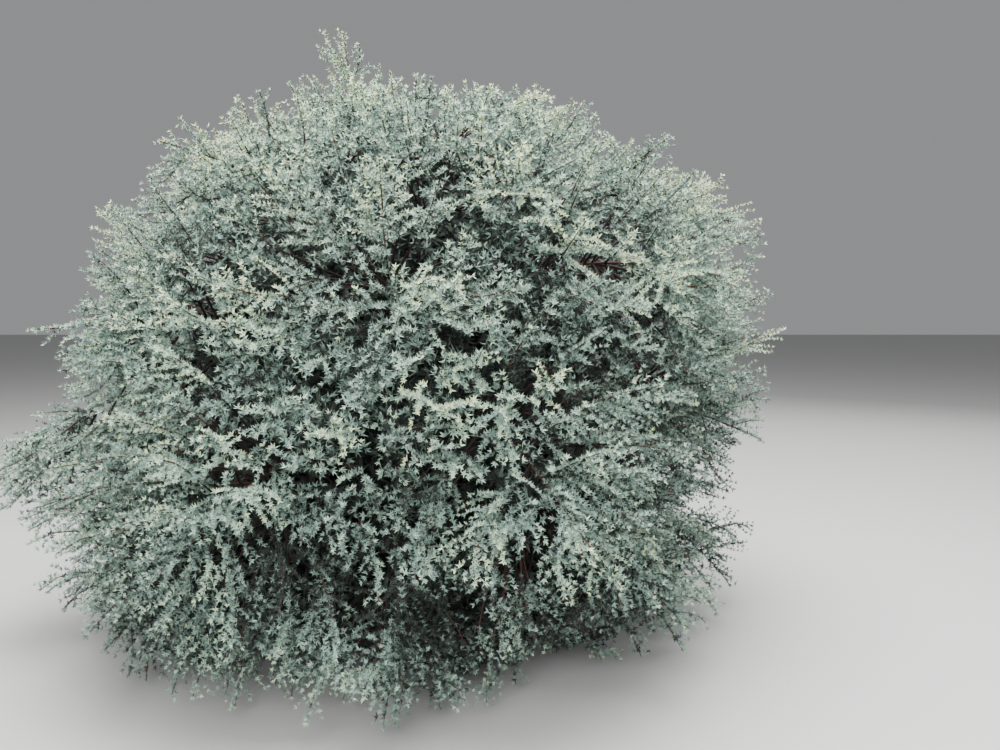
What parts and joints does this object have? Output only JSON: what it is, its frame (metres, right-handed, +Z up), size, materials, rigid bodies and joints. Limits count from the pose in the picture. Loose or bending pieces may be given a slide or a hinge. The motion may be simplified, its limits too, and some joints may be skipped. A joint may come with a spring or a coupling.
{
  "type": "blue atlas cedar tree",
  "caption": "Compact dome-shaped blue atlas cedar rooted in the ground: tapering trunk, layered boughs, short blue-grey needles and a skirt that hangs to the soil.",
  "frame": {"origin": "centre of the trunk's flat cut at ground level", "axes": "+Z up from the ground, -Y towards the side seen in the picture, +X to its right"},
  "size_m": [3.8897, 3.6379, 2.9006],
  "materials": {
    "trunk_bark": "rough, fissured grey-brown bark",
    "bough_bark": "finely cracked red-brown bark",
    "needles": "matt waxy blue-grey needles"
  },
  "bodies": {
    "root": {"trunk": "trunk_bark", "bough_skirt_1": "bough_bark", "bough_skirt_2": "bough_bark", "bough_skirt_3": "bough_bark", "bough_skirt_4": "bough_bark", "bough_skirt_5": "bough_bark", "bough_skirt_6": "bough_bark", "bough_skirt_7": "bough_bark", "bough_lower_1": "bough_bark", "bough_lower_2": "bough_bark", "bough_lower_3": "bough_bark", "bough_lower_4": "bough_bark", "bough_lower_5": "bough_bark", "bough_lower_6": "bough_bark", "bough_lower_7": "bough_bark", "bough_middle_1": "bough_bark", "bough_middle_2": "bough_bark", "bough_middle_3": "bough_bark", "bough_middle_4": "bough_bark", "bough_middle_5": "bough_bark", "bough_middle_6": "bough_bark", "bough_middle_7": "bough_bark", "bough_upper_1": "bough_bark", "bough_upper_2": "bough_bark", "bough_upper_3": "bough_bark", "bough_upper_4": "bough_bark", "bough_upper_5": "bough_bark", "bough_top_1": "bough_bark", "bough_top_2": "bough_bark", "foliage_skirt_1": "needles", "foliage_skirt_2": "needles", "foliage_skirt_3": "needles", "foliage_skirt_4": "needles", "foliage_skirt_5": "needles", "foliage_skirt_6": "needles", "foliage_skirt_7": "needles", "foliage_lower_1": "needles", "foliage_lower_2": "needles", "foliage_lower_3": "needles", "foliage_lower_4": "needles", "foliage_lower_5": "needles", "foliage_lower_6": "needles", "foliage_lower_7": "needles", "foliage_middle_1": "needles", "foliage_middle_2": "needles", "foliage_middle_3": "needles", "foliage_middle_4": "needles", "foliage_middle_5": "needles", "foliage_middle_6": "needles", "foliage_middle_7": "needles", "foliage_upper_1": "needles", "foliage_upper_2": "needles", "foliage_upper_3": "needles", "foliage_upper_4": "needles", "foliage_upper_5": "needles", "foliage_top_1": "needles", "foliage_top_2": "needles", "foliage_leader": "needles"}
  },
  "joints": []
}
